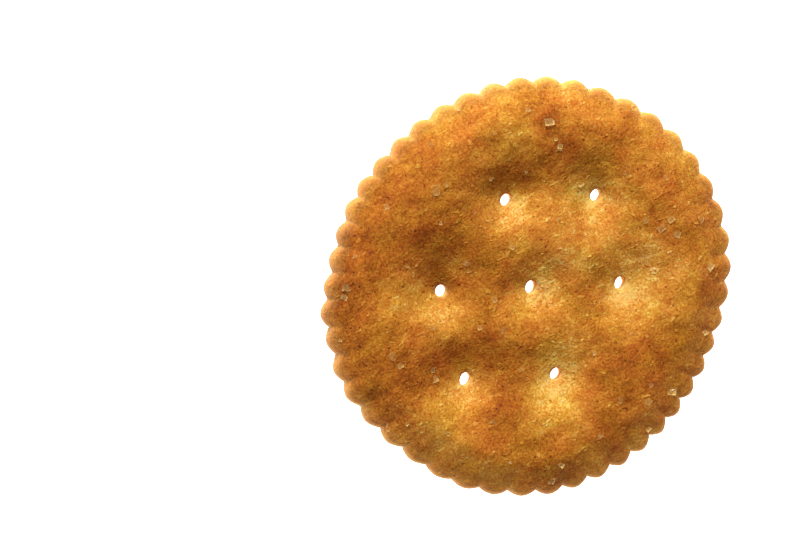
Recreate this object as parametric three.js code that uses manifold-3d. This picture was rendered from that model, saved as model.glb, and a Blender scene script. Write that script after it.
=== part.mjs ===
// A round butter cracker: one baked wafer of puffed dough with a scalloped edge, seven pin holes that hold
// its two crusts together, and coarse salt fused to the top.
//
// Units are millimetres. The cracker lies flat: Z = 0 is the surface it rests on, the origin is under the
// centre of its outline, and X runs along the longer axis of the slightly oval outline.
import * as THREE from "three";
import { mergeVertices } from "three/addons/utils/BufferGeometryUtils.js";
import Module from "manifold-3d";

// ---- Driving dimensions -----------------------------------------------------------------------------

const TIP_RADIUS = 23.2; // mean radius out to the scallop tips
// The cutter is round, but dough shrinks unevenly in the oven: the outline's harmonics, the first an oval.
const OUTLINE = [
  { order: 2, size: 0.9, turn: -3 },
  { order: 3, size: 0.14, turn: 15 },
  { order: 4, size: 0.15, turn: 161 },
]; // size in mm, turn in degrees
// Places where the rim was pushed in or bulged out: direction and spread in degrees, mm outwards.
const RIM_WEAR = [
  { toward: 12, spread: 9, high: -0.2 },
  { toward: 54, spread: 7, high: -0.12 },
  { toward: 98, spread: 9, high: 0.25 },
  { toward: 133, spread: 5, high: 0.45 },
  { toward: 152, spread: 6, high: 0.35 },
  { toward: 180, spread: 9, high: -0.3 },
  { toward: 212, spread: 7, high: -0.15 },
  { toward: 235, spread: 8, high: -0.15 },
  { toward: 270, spread: 12, high: 0.13 },
  { toward: 315, spread: 9, high: 0.2 },
];
const SCALLOPS = 46;
const SCALLOP_DEPTH = 0.74;
const SCALLOP_FULLNESS = 0.95; // 1 is a half circle, 0 a parabola
const SCALLOP_SOFTNESS = 0.3; // the share of a plain wave in it, which rounds the notches
const SCALLOP_UNEVEN = 0.35; // how much the scallops' depths differ, as a share
// Where round the rim the scallops are shallower or deeper, as a share of their depth.
const DEPTH_DRIFT = [
  { toward: 190, spread: 9, high: -0.35 },
  { toward: 258, spread: 20, high: 0.2 },
];
const SCALLOP_FADE = 2.6; // how far in from the rim's rounding the scallops can still be felt
const SCALLOP_CARRY = 0.75; // how far they draw the crust in, as a share of their depth
const BEAD_TOP = -0.3; // how far the top is pressed down between two scallops, per mm of their depth
const BEAD_BASE = 0.2; // and the base up
// The same shrinkage crowds the scallops on one side and spreads them on the other.
const PITCH_WANDER = [
  { order: 1, size: 1.24, turn: -171 },
  { order: 2, size: 1.04, turn: -87 },
  { order: 3, size: 0.43, turn: 61 },
]; // both in degrees

const PUFF_HEIGHT = 5.0; // top crust between the pin holes
const RING_HEIGHT = 0.45; // how much more it puffs in the ring outside the pins
const RING_RADIUS = 0.74; // where that ring is highest, as a share of the outline's radius
const RING_WIDTH = 0.16;
const EDGE_DROP = 2.1; // how far the top crust falls towards the rim
const EDGE_START = 0.79; // where the fall starts and where it would end, as shares of the radius
const EDGE_END = 1.07;
const EDGE_LIFT = 0.45; // the rim's underside stands this far off the table
const LIFT_START = 0.8; // where the underside starts to rise, as a share of the radius
const EDGE_MIDDLE = 1.75; // height at which the rim reaches furthest out
const EDGE_ROUND_TOP = 1.15; // how far in the rounding of the rim reaches, above and below
const EDGE_ROUND_BASE = 0.8;
const EDGE_SQUARE_TOP = 0.8; // 1 makes that rounding an ellipse, less makes it squarer
const EDGE_SQUARE_BASE = 0.9;
const RIM_TILTS = [52, 22, -10, -42]; // degrees: the rim's rings between its top and its underside

const PIN_ON_AXIS = 12.65; // the outer two of the seven holes lie on the long axis
const PIN_PAIR = [6.25, 8.0]; // and four more at this X and Y, to either side
const PIN_HOLE_RADIUS = 0.68;
const PIN_MOUTH_RADIUS = 0.95; // where the hole opens into the top crust
const PIN_MOUTH_DEPTH = 0.6;
const PIN_FACETS = 14;
const CUT_CLEARANCE = 2; // how far the cutting shapes pass the crusts
const DIMPLE_DEPTH = 1.85; // each pin holds the top crust down
const DIMPLE_REACH = 3.7;
const BASE_DIMPLE_DEPTH = 1.1; // and pulls the base up
const BASE_DIMPLE_REACH = 2.3;

// Blisters in the crust: wavelength and height of each size of them.
const TOP_BLISTERS = [
  { wave: 8.5, high: 0.5, seed: 2411 },
  { wave: 4.2, high: 0.2, seed: 2246 },
  { wave: 2.4, high: 0.1, seed: 858 },
];
const BASE_BLISTERS = [
  { wave: 7.5, high: 0.22, seed: 41 },
  { wave: 3.8, high: 0.12, seed: 53 },
];
const RIM_CALM = 0.6; // the cutter irons this share of the blisters out at the rim
const RIM_CALM_START = 0.85;
const BASE_CLEARANCE = 0.28; // how far off the table the underside is between its blisters and dimples
// The lowest blisters under it, on which it stands: X and Y. They are pressed flat.
const BASE_FEET = [
  [15, 5.5],
  [-4, 15],
  [-15, -5],
  [4.5, -15],
];
const FOOT_DEPTH = 0.5;
const FOOT_REACH = 2.4;

// The salt grains that catch the eye: X, Y and edge length.
const BIG_GRAINS = [
  [2.2, 15.5, 1.15],
  [15.9, 9.5, 1.05],
  [14.4, 6.9, 0.85],
  [13.7, -7.8, 0.95],
  [15.2, -8.2, 0.8],
  [17.2, -11.1, 0.8],
  [13.5, -15.0, 0.95],
  [-12.2, 17.0, 0.9],
  [-13.2, 16.6, 0.8],
  [-15.5, 8.6, 0.9],
  [-14.7, 3.1, 0.85],
  [-0.3, -19.8, 0.95],
  [-2.9, -18.0, 0.8],
  [-16.2, -14.5, 0.9],
  [-2.1, 7.5, 0.85],
];
const SMALL_GRAINS = 60;
const SALT_RADIUS = 22.0; // the grains lie within this radius
const SALT_SIZE = [0.35, 0.75]; // edge length of the smallest and the largest small grain
const SALT_LEAST_WIDTH = 0.65; // a grain's least width, as a share of its length
const SALT_FLATNESS = 0.5; // its height, as a share of its length
const SALT_SUNK = 0.62; // share of a grain's height below the crust
const SALT_LEAN = 0.8; // radians from the furthest lean one way to the other
const SALT_JITTER = 1.3; // how far a grain strays from an even spread
const PIN_CLEARANCE = 1.5; // no small grain lies nearer than this to a pin hole
const RIM_CLEARANCE = 0.95; // nor further out than this share of the radius

const FACET = 1.25; // edge length of the triangles on the crusts
const INNER_RINGS = 17;
const INNER_SHARE = 0.965; // how far out the last of them may lie, as a share of the way to the rim
const POINTS_PER_SCALLOP = 6;

const CRUST_COLOUR = "#c98a38";
const DEGREE = Math.PI / 180;
const FULL_TURN = 2 * Math.PI;

// ---- Small helpers ----------------------------------------------------------------------------------

// A repeatable draw from 0 to 1 for a pair of whole numbers.
function draw(i, j, seed) {
  const wave = Math.sin(i * 127.1 + j * 311.7 + seed * 74.7) * 43758.5453;
  return wave - Math.floor(wave);
}

function smoothStep(from, to, value) {
  const t = Math.min(1, Math.max(0, (value - from) / (to - from)));
  return t * t * (3 - 2 * t);
}

// Gradient noise, about -1 to 1: each corner of a unit grid holds a direction, and the slopes are blended.
function noise(x, y, seed) {
  const i = Math.floor(x);
  const j = Math.floor(y);
  const [u, v] = [x - i, y - j];
  const blend = (t) => t * t * t * (t * (t * 6 - 15) + 10);
  const slope = (a, b) => {
    const turn = FULL_TURN * draw(i + a, j + b, seed);
    return Math.cos(turn) * (u - a) + Math.sin(turn) * (v - b);
  };
  const low = slope(0, 0) + (slope(1, 0) - slope(0, 0)) * blend(u);
  const high = slope(0, 1) + (slope(1, 1) - slope(0, 1)) * blend(u);
  return 1.5 * (low + (high - low) * blend(v));
}

// Sum of the harmonics of an angle.
function harmonics(list, angle) {
  return list.reduce((sum, h) => sum + h.size * Math.cos(h.order * angle + h.turn * DEGREE), 0);
}

// ---- The outline, seen from above -------------------------------------------------------------------

// A direction on the round cutter, in radians, and where it ends up on the baked cracker.
function bakedAngle(cutterAngle) {
  return cutterAngle + harmonics(PITCH_WANDER, cutterAngle) * DEGREE;
}

// A sum of bells round the rim.
function roundTheRim(bells, angle) {
  const bell = (b) => b.high * Math.exp((Math.cos(angle - b.toward * DEGREE) - 1) / (b.spread * DEGREE) ** 2);
  return bells.reduce((sum, b) => sum + bell(b), 0);
}

// How far the outline lies inside the tips: nought at a tip, the full depth where two scallops meet.
function scallopInset(cutterAngle) {
  const place = (cutterAngle / FULL_TURN) * SCALLOPS;
  const scallop = Math.round(place);
  const across = 2 * (place - scallop); // -1 to 1 over one scallop
  const arc = (w) => 1 - Math.sqrt(1 - (SCALLOP_FULLNESS * w) ** 2);
  const wave = (1 - Math.cos(Math.PI * across)) / 2;
  const shape = (1 - SCALLOP_SOFTNESS) * (arc(across) / arc(1)) + SCALLOP_SOFTNESS * wave;
  const uneven = 1 + SCALLOP_UNEVEN * (draw(scallop % SCALLOPS, 1, 5) - 0.5) * (1 - across ** 2);
  return SCALLOP_DEPTH * uneven * (1 + roundTheRim(DEPTH_DRIFT, cutterAngle)) * shape;
}

function tipRadius(angle) {
  return TIP_RADIUS + harmonics(OUTLINE, angle) + roundTheRim(RIM_WEAR, angle);
}

// Distance from the centre as a share of the outline's radius in that direction.
function reachOut(x, y) {
  return Math.hypot(x, y) / tipRadius(Math.atan2(y, x));
}

// ---- The crusts, as heights over the table ----------------------------------------------------------

const PINS = [
  [0, 0],
  [PIN_ON_AXIS, 0],
  [-PIN_ON_AXIS, 0],
  ...[1, -1].flatMap((sx) => [1, -1].map((sy) => [sx * PIN_PAIR[0], sy * PIN_PAIR[1]])),
];

// 1 at each of the places, falling to 0 at a few times the reach.
function bellsAt(places, x, y, reach) {
  return places.reduce((sum, [px, py]) => sum + Math.exp(-((x - px) ** 2 + (y - py) ** 2) / reach ** 2), 0);
}

function blisters(list, x, y) {
  return list.reduce((sum, b) => sum + b.high * noise(x / b.wave, y / b.wave, b.seed), 0);
}

function topHeight(x, y) {
  const out = reachOut(x, y);
  const ring = RING_HEIGHT * Math.exp(-(((out - RING_RADIUS) / RING_WIDTH) ** 2));
  const drop = EDGE_DROP * smoothStep(EDGE_START, EDGE_END, out);
  const calm = 1 - RIM_CALM * smoothStep(RIM_CALM_START, 1, out);
  const dimples = DIMPLE_DEPTH * bellsAt(PINS, x, y, DIMPLE_REACH);
  return PUFF_HEIGHT + ring - drop - dimples + calm * blisters(TOP_BLISTERS, x, y);
}

function baseHeight(x, y) {
  const lift = EDGE_LIFT * smoothStep(LIFT_START, 1, reachOut(x, y));
  const dimples = BASE_DIMPLE_DEPTH * bellsAt(PINS, x, y, BASE_DIMPLE_REACH);
  const feet = FOOT_DEPTH * bellsAt(BASE_FEET, x, y, FOOT_REACH);
  return Math.max(0, BASE_CLEARANCE + lift + dimples + blisters(BASE_BLISTERS, x, y) - feet);
}

// ---- The wafer's surface ----------------------------------------------------------------------------

const TOP = { height: topHeight, bead: BEAD_TOP, round: EDGE_ROUND_TOP, square: EDGE_SQUARE_TOP };
const BASE = { height: baseHeight, bead: BEAD_BASE, round: EDGE_ROUND_BASE, square: EDGE_SQUARE_BASE };

// A point of a crust. share is 0 at the centre and 1 where the rim's rounding starts.
function crustPoint(cutterAngle, share, side) {
  const angle = bakedAngle(cutterAngle);
  const edge = tipRadius(angle) - side.round;
  const felt = smoothStep(edge - SCALLOP_FADE, edge, share * edge) * scallopInset(cutterAngle);
  const radius = share * edge - SCALLOP_CARRY * felt;
  const [x, y] = [radius * Math.cos(angle), radius * Math.sin(angle)];
  return [x, y, side.height(x, y) + side.bead * felt];
}

// A point of the rounded rim. tilt is 90 degrees where it leaves the top crust, 0 at its widest, -90 below.
function rimPoint(cutterAngle, tilt) {
  const side = tilt >= 0 ? TOP : BASE;
  const angle = bakedAngle(cutterAngle);
  const [x, y, z] = crustPoint(cutterAngle, 1, side);
  const inner = Math.hypot(x, y);
  const outer = tipRadius(angle) - scallopInset(cutterAngle);
  const radius = inner + (outer - inner) * Math.cos(tilt * DEGREE);
  const rise = Math.abs(Math.sin(tilt * DEGREE)) ** side.square;
  return [radius * Math.cos(angle), radius * Math.sin(angle), EDGE_MIDDLE + (z - EDGE_MIDDLE) * rise];
}

// A ring of points, evenly spaced on the cutter.
function ring(count, point) {
  return Array.from({ length: count }, (_, k) => point((FULL_TURN * k) / count));
}

// The rings of the whole wafer, from the top's centre out, round the rim and in to the base's centre.
function waferRings() {
  const crust = (side) =>
    Array.from({ length: INNER_RINGS }, (_, k) => {
      const share = ((k + 1) * FACET) / (TIP_RADIUS - side.round);
      return ring(6 * (k + 1), (turn) => crustPoint(turn, Math.min(share, INNER_SHARE), side));
    });
  const fine = POINTS_PER_SCALLOP * SCALLOPS;
  return [
    [crustPoint(0, 0, TOP)],
    ...crust(TOP),
    ring(fine / 2, (turn) => rimPoint(turn, 90)),
    ...RIM_TILTS.map((tilt) => ring(fine, (turn) => rimPoint(turn, tilt))),
    ring(fine / 2, (turn) => rimPoint(turn, -90)),
    ...crust(BASE).reverse(),
    [crustPoint(0, 0, BASE)],
  ];
}

// Triangles between two neighbouring rings, walking round both at once and always advancing the one behind.
function zip(inner, outer, offsetIn, offsetOut, faces) {
  const [n, m] = [inner.length, outer.length];
  let i = 0;
  let j = 0;
  while (i < (n > 1 ? n : 0) || j < (m > 1 ? m : 0)) {
    const nextIn = n > 1 && i < n ? (i + 1) / n : Infinity;
    const nextOut = m > 1 && j < m ? (j + 1) / m : Infinity;
    if (nextOut <= nextIn) {
      faces.push(offsetIn + (i % n), offsetOut + (j % m), offsetOut + ((j + 1) % m));
      j += 1;
    } else {
      faces.push(offsetIn + (i % n), offsetOut + (j % m), offsetIn + ((i + 1) % n));
      i += 1;
    }
  }
}

function waferGeometry() {
  const rings = waferRings();
  const faces = [];
  let start = 0;
  for (let k = 0; k + 1 < rings.length; k += 1) {
    const next = start + rings[k].length;
    zip(rings[k], rings[k + 1], start, next, faces);
    start = next;
  }
  const geometry = new THREE.BufferGeometry();
  geometry.setAttribute("position", new THREE.Float32BufferAttribute(rings.flat(2), 3));
  geometry.setIndex(faces);
  return geometry;
}

// ---- Pin holes and salt -----------------------------------------------------------------------------

// The space that a docking pin leaves: a straight hole that opens like a funnel into the top crust.
function pinHoleGeometry([x, y]) {
  const mouth = topHeight(x, y);
  const profile = [
    [0, -CUT_CLEARANCE],
    [PIN_HOLE_RADIUS, -CUT_CLEARANCE],
    [PIN_HOLE_RADIUS, mouth - PIN_MOUTH_DEPTH],
    [PIN_MOUTH_RADIUS, mouth],
    [PIN_MOUTH_RADIUS, mouth + CUT_CLEARANCE],
    [0, mouth + CUT_CLEARANCE],
  ].map(([radius, height]) => new THREE.Vector2(radius, height));
  const geometry = new THREE.LatheGeometry(profile, PIN_FACETS);
  geometry.rotateX(Math.PI / 2); // a lathe turns about Y, and a pin stands along Z
  geometry.translate(x, y, 0);
  return geometry;
}

// Where the salt fell: the big grains, then an even sunflower spread of small ones with a seeded stray.
function saltPlaces() {
  const goldenAngle = Math.PI * (3 - Math.sqrt(5));
  const places = [...BIG_GRAINS];
  for (let k = 0; k < SMALL_GRAINS; k += 1) {
    const radius = SALT_RADIUS * Math.sqrt((k + 0.5) / SMALL_GRAINS);
    const x = radius * Math.cos(k * goldenAngle) + SALT_JITTER * (2 * draw(k, 1, 61) - 1);
    const y = radius * Math.sin(k * goldenAngle) + SALT_JITTER * (2 * draw(k, 2, 61) - 1);
    const size = SALT_SIZE[0] + (SALT_SIZE[1] - SALT_SIZE[0]) * draw(k, 3, 61);
    const clear = PINS.every(([px, py]) => Math.hypot(x - px, y - py) > PIN_CLEARANCE);
    if (clear && reachOut(x, y) < RIM_CLEARANCE) places.push([x, y, size]);
  }
  return places;
}

// One grain: a flat block of salt, leaning as it landed and half sunk in the crust.
function saltGrainGeometry([x, y, size], number) {
  const width = size * (SALT_LEAST_WIDTH + (1 - SALT_LEAST_WIDTH) * draw(number, 4, 61));
  const high = size * SALT_FLATNESS;
  const geometry = new THREE.BoxGeometry(size, width, high);
  geometry.rotateX(SALT_LEAN * (draw(number, 5, 61) - 0.5));
  geometry.rotateY(SALT_LEAN * (draw(number, 6, 61) - 0.5));
  geometry.rotateZ(FULL_TURN * draw(number, 7, 61));
  geometry.translate(x, y, topHeight(x, y) + high * (0.5 - SALT_SUNK));
  return geometry;
}

// ---- Joining and cutting ----------------------------------------------------------------------------

const wasm = await Module();
wasm.setup();

function solidFrom(geometry) {
  const bare = geometry.clone();
  bare.deleteAttribute("normal");
  bare.deleteAttribute("uv");
  const merged = mergeVertices(bare, 1e-4);
  const mesh = new wasm.Mesh({
    numProp: 3,
    vertProperties: new Float32Array(merged.attributes.position.array),
    triVerts: new Uint32Array(merged.index.array),
  });
  return new wasm.Manifold(mesh);
}

function geometryFrom(solid) {
  const mesh = solid.getMesh();
  const geometry = new THREE.BufferGeometry();
  geometry.setAttribute("position", new THREE.Float32BufferAttribute(mesh.vertProperties, 3));
  geometry.setIndex(new THREE.BufferAttribute(mesh.triVerts, 1));
  geometry.computeVertexNormals();
  return geometry;
}

function crackerGeometry() {
  let solid = solidFrom(waferGeometry());
  for (const pin of PINS) solid = solid.subtract(solidFrom(pinHoleGeometry(pin)));
  saltPlaces().forEach((place, number) => {
    solid = solid.add(solidFrom(saltGrainGeometry(place, number)));
  });
  return geometryFrom(solid);
}

const crust = new THREE.MeshStandardMaterial({ color: CRUST_COLOUR, roughness: 0.8, metalness: 0 });
const cracker = new THREE.Mesh(crackerGeometry(), crust);
cracker.name = "cracker";

// The origin belongs under the centre of the outline, and the unevenness shifts that a little.
cracker.geometry.computeBoundingBox();
const middle = cracker.geometry.boundingBox.getCenter(new THREE.Vector3());
cracker.position.set(-middle.x, -middle.y, 0);

const model = new THREE.Group();
model.add(cracker);

export default model;
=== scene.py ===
# %% [markdown]
# # A butter cracker
#
# A butter cracker is one wafer of rich dough, cut with a scalloped cutter, pricked by docking pins,
# salted and baked until it puffs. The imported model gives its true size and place, so it is loaded first,
# and everything below is worked out in millimetres in that same frame and turned into metres as it enters
# a mesh.

# %% Loading the frame
import math

import bpy
import numpy as np
from mathutils import Matrix, Vector


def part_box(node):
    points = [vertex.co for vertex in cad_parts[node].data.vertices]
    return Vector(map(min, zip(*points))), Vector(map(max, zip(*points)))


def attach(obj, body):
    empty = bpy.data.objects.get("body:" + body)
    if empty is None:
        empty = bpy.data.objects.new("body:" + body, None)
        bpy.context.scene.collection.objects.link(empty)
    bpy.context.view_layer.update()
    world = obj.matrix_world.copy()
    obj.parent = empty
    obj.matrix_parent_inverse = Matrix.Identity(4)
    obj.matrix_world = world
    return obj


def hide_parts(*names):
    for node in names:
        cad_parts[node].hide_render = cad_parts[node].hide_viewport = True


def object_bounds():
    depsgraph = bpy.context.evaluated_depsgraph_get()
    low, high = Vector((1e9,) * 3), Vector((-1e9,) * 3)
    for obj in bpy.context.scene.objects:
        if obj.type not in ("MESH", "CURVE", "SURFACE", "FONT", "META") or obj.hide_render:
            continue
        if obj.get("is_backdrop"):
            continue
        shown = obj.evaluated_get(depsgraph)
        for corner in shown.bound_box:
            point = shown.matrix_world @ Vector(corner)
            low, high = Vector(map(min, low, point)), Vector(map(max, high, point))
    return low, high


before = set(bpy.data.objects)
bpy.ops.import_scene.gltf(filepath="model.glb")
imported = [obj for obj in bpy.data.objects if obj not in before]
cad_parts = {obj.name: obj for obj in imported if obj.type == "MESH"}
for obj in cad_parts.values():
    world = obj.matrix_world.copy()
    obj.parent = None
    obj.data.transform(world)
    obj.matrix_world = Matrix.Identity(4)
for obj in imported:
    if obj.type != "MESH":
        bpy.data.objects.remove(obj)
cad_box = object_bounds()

MM = 0.001
FULL_TURN = 2 * math.pi
solid_low, solid_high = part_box("cracker")
print("the solid measures", [round(side / MM, 2) for side in solid_high - solid_low], "mm")

# %% [markdown]
# ## Chance that repeats
#
# Baked dough is uneven, but the script has to make the same cracker on every run. Blender's noise
# textures would do for colour, yet the mesh needs the numbers too. So one small hash gives a repeatable
# draw for a pair of whole numbers, and gradient noise is built on it: each corner of a unit grid holds a
# direction, and the four slopes are blended. It takes whole arrays, which is why thousands of points cost
# no loop. The seeds of the large blisters and of the browning's clouds aren't chance: a script tried some
# thousands, and these put light and shade about where the photo has them.


# %% A repeatable draw, and noise made from it
HASH_STEPS, HASH_HEIGHT = (127.1, 311.7, 74.7), 43758.5453  # any large, unrelated numbers do
NOISE_REACH = 1.5  # brings the blend of four slopes to about -1 to 1


def draw(i, j, seed):
    """The broken part of a large sine of the two whole numbers: from 0 to 1, the same on every run."""
    wave = np.sin(i * HASH_STEPS[0] + j * HASH_STEPS[1] + seed * HASH_STEPS[2]) * HASH_HEIGHT
    return wave - np.floor(wave)


def smooth_step(start, end, value):
    """0 before start, 1 after end, and 3t^2 - 2t^3 of the share t between them."""
    t = np.clip((value - start) / (end - start), 0, 1)
    return t * t * (3 - 2 * t)


def noise(x, y, seed):
    """Gradient noise, about -1 to 1: the slopes from a cell's four corners, blended by
    6t^5 - 15t^4 + 10t^3 of the share t of the way across it."""
    i, j = np.floor(x), np.floor(y)
    u, v = x - i, y - j

    def slope(a, b):
        turn = FULL_TURN * draw(i + a, j + b, seed)
        return np.cos(turn) * (u - a) + np.sin(turn) * (v - b)

    along, across = (t * t * t * (t * (t * 6 - 15) + 10) for t in (u, v))
    near = slope(0, 0) + (slope(1, 0) - slope(0, 0)) * along
    far = slope(0, 1) + (slope(1, 1) - slope(0, 1)) * along
    return NOISE_REACH * (near + (far - near) * across)


sample = noise(np.linspace(0.1, 90, 4000), np.linspace(0.2, 47, 4000), 3)
print("noise runs from", round(sample.min(), 2), "to", round(sample.max(), 2))

# %% [markdown]
# ## The outline
#
# The cutter is a true circle with forty-six equal scallops. Dough shrinks unevenly in the oven, so the
# baked outline is slightly oval and its scallops crowd together on one side. A circle with copied arcs
# would look stamped; a list of traced points would be stiff. Two short sums of cosines, one for the
# radius and one for the angle, bend the perfect cutter into the baked shape, and the scallops stay a
# single formula. The sizes and turns of both sums are rounded results of a least-squares fit to the
# scallops' tips in the photo.

# %% The cutter's circle, and what baking does to it
TIP_RADIUS = 23.2
OUTLINE = [(2, 0.9, -3), (3, 0.14, 15), (4, 0.15, 161)]  # order, size in mm, turn in degrees
SCALLOPS = 46
SCALLOP_DEPTH = 0.74
SCALLOP_FULLNESS = 0.95  # 1 is a half circle, 0 a parabola
SCALLOP_SOFTNESS = 0.3  # the share of a plain wave in it, which rounds the notches
SCALLOP_UNEVEN, SCALLOP_SEED = 0.35, 5
DEPTH_DRIFT = [(190, 9, -0.35), (258, 20, 0.2)]  # toward, spread in degrees, how much deeper as a share
PITCH_WANDER = [(1, 1.24, -171), (2, 1.04, -87), (3, 0.43, 61)]  # order, size and turn in degrees
RIM_WEAR = [  # direction and spread in degrees, mm outwards
    (12, 9, -0.2),
    (54, 7, -0.12),
    (98, 9, 0.25),
    (133, 5, 0.45),
    (152, 6, 0.35),
    (180, 9, -0.3),
    (212, 7, -0.15),
    (235, 8, -0.15),
    (270, 12, 0.13),
    (315, 9, 0.2),
]


def harmonics(terms, angle):
    """The sum of size times the cosine of order times the angle, plus the turn."""
    return sum(size * np.cos(order * angle + math.radians(turn)) for order, size, turn in terms)


def baked_angle(cutter_angle):
    """Where a direction on the cutter ends up on the baked cracker."""
    return cutter_angle + np.radians(harmonics(PITCH_WANDER, cutter_angle))


def round_the_rim(bells, angle):
    """A sum of bells, each its height times e to the power of (the cosine of the angle from its middle,
    less 1) over its squared spread."""
    total = 0.0
    for middle, spread, high in bells:
        away = np.cos(angle - math.radians(middle)) - 1
        total = total + high * np.exp(away / math.radians(spread) ** 2)
    return total


def scallop_inset(cutter_angle):
    """How far the outline lies inside the scallops' tips: nought at a tip, the full depth between two of
    them. Its shape is an arc of a circle with a share of half a wave, one less its cosine, mixed in."""
    place = cutter_angle / FULL_TURN * SCALLOPS
    scallop = np.floor(place + 0.5)
    across = 2 * (place - scallop)
    arc = 1 - np.sqrt(1 - (SCALLOP_FULLNESS * across) ** 2)
    full = 1 - math.sqrt(1 - SCALLOP_FULLNESS**2)
    wave = (1 - np.cos(math.pi * across)) / 2
    shape = (1 - SCALLOP_SOFTNESS) * arc / full + SCALLOP_SOFTNESS * wave
    uneven = 1 + SCALLOP_UNEVEN * (draw(scallop % SCALLOPS, 1, SCALLOP_SEED) - 0.5) * (1 - across**2)
    return SCALLOP_DEPTH * uneven * (1 + round_the_rim(DEPTH_DRIFT, cutter_angle)) * shape


def tip_radius(angle):
    """The radius over the scallops' tips: a circle, its harmonics, and where the rim was pushed."""
    return TIP_RADIUS + harmonics(OUTLINE, angle) + round_the_rim(RIM_WEAR, angle)


def reach_out(x, y):
    """Distance from the centre as a share of the outline's radius in that direction."""
    return np.hypot(x, y) / tip_radius(np.arctan2(y, x))


print("the cutter's pitch is", round(FULL_TURN * TIP_RADIUS / SCALLOPS, 2), "mm a scallop")

# %% [markdown]
# ## The puffed crusts
#
# Steam lifts the two crusts apart wherever the docking pins don't hold them, so the top is a quilt: a
# dimple at each of seven pins, pillows between them, a raised ring outside them and a fall to the rim.
# Sculpting that by hand would lose the exact pin places. Here each crust is a height over the plane,
# added up from those causes, with the very values that shaped the solid.

# %% Heights of the top and of the base
PUFF_HEIGHT = 5.0
RING_HEIGHT, RING_RADIUS, RING_WIDTH = 0.45, 0.74, 0.16
EDGE_DROP, EDGE_START, EDGE_END = 2.1, 0.79, 1.07
EDGE_LIFT, LIFT_START = 0.45, 0.8
PIN_ON_AXIS = 12.65
PIN_PAIR = (6.25, 8.0)
PINS = np.array(
    [(0, 0), (PIN_ON_AXIS, 0), (-PIN_ON_AXIS, 0)]
    + [(sx * PIN_PAIR[0], sy * PIN_PAIR[1]) for sx in (1, -1) for sy in (1, -1)]
)
DIMPLE_DEPTH, DIMPLE_REACH = 1.85, 3.7
BASE_DIMPLE_DEPTH, BASE_DIMPLE_REACH = 1.1, 2.3
TOP_BLISTERS = [(8.5, 0.5, 2411), (4.2, 0.2, 2246), (2.4, 0.1, 858)]  # wavelength and height in mm, seed
BASE_BLISTERS = [(7.5, 0.22, 41), (3.8, 0.12, 53)]
RIM_CALM, RIM_CALM_START = 0.6, 0.85
BASE_CLEARANCE = 0.28
BASE_FEET = [(15, 5.5), (-4, 15), (-15, -5), (4.5, -15)]  # the low blisters that the cracker stands on
FOOT_DEPTH, FOOT_REACH = 0.5, 2.4


def bells_at(places, x, y, reach):
    """The sum over the places of e to the minus squared distance over squared reach."""
    return sum(np.exp(-((x - px) ** 2 + (y - py) ** 2) / reach**2) for px, py in places)


def blisters(sizes, x, y):
    """Noise at each wavelength, times its height."""
    return sum(high * noise(x / wave, y / wave, seed) for wave, high, seed in sizes)


def top_height(x, y):
    """Puff and ring, less the fall to the rim and the dimples, plus blisters that calm near the rim."""
    out = reach_out(x, y)
    ring = RING_HEIGHT * np.exp(-(((out - RING_RADIUS) / RING_WIDTH) ** 2))
    drop = EDGE_DROP * smooth_step(EDGE_START, EDGE_END, out)
    calm = 1 - RIM_CALM * smooth_step(RIM_CALM_START, 1, out)
    dimples = DIMPLE_DEPTH * bells_at(PINS, x, y, DIMPLE_REACH)
    return PUFF_HEIGHT + ring - drop - dimples + calm * blisters(TOP_BLISTERS, x, y)


def base_height(x, y):
    """The lift to the rim, the dimples and the blisters, less the feet, which are pressed flat at 0."""
    lift = EDGE_LIFT * smooth_step(LIFT_START, 1, reach_out(x, y))
    dimples = BASE_DIMPLE_DEPTH * bells_at(PINS, x, y, BASE_DIMPLE_REACH)
    feet = FOOT_DEPTH * bells_at(BASE_FEET, x, y, FOOT_REACH)
    return np.maximum(0, BASE_CLEARANCE + lift + dimples + blisters(BASE_BLISTERS, x, y) - feet)


print("the top stands", np.round(top_height(PINS[:, 0], PINS[:, 1]), 1), "mm high at the pins")

# %% [markdown]
# ## The crumb of the surface
#
# Between the quilt and the colour lies what makes it read as baked dough: small blisters packed side by
# side, short wrinkles drawn out the way the dough was rolled, and a sandy crumb. A bump map alone would
# vanish at a grazing view, so all that is coarser than the mesh is real relief, and only the finest grit
# is left to bump.

# %% Small blisters, wrinkles and crumb
ROLLED = math.radians(-24)  # the direction in which the sheet of dough was rolled out
BLISTER_STRETCH = 1.2
BLISTER_WAVES = [(1.9, 0.07, 71), (1.05, 0.04, 73)]  # wavelength and height in mm, seed
WRINKLE_WAVE, WRINKLE_STRETCH, WRINKLE_HIGH, WRINKLE_SEED = 0.6, 1.7, 0.014, 79
CRUMB_WAVE, CRUMB_HIGH, CRUMB_SEED = 0.42, 0.025, 83
PIN_CALM, PIN_CALM_REACH = 0.6, 2.6


def rolled(x, y):
    """The same place along and across the rolling direction."""
    return x * math.cos(ROLLED) + y * math.sin(ROLLED), y * math.cos(ROLLED) - x * math.sin(ROLLED)


def stretched_noise(x, y, wave, stretch, seed):
    """Noise of that wavelength, drawn out along the rolling direction."""
    along, across = rolled(x, y)
    return noise(along / (wave * stretch), across / wave, seed)


def fine_relief(x, y):
    """Small blisters, wrinkles and crumb added up, calmer by the pins, where the dough is held down."""
    small = 0.0
    for wave, high, seed in BLISTER_WAVES:
        small = small + high * stretched_noise(x, y, wave, BLISTER_STRETCH, seed)
    wrinkles = WRINKLE_HIGH * stretched_noise(x, y, WRINKLE_WAVE, WRINKLE_STRETCH, WRINKLE_SEED)
    crumb = CRUMB_HIGH * noise(x / CRUMB_WAVE, y / CRUMB_WAVE, CRUMB_SEED)
    calm = 1 - PIN_CALM * np.minimum(1, bells_at(PINS, x, y, PIN_CALM_REACH))
    return calm * (small + wrinkles + crumb)


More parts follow.
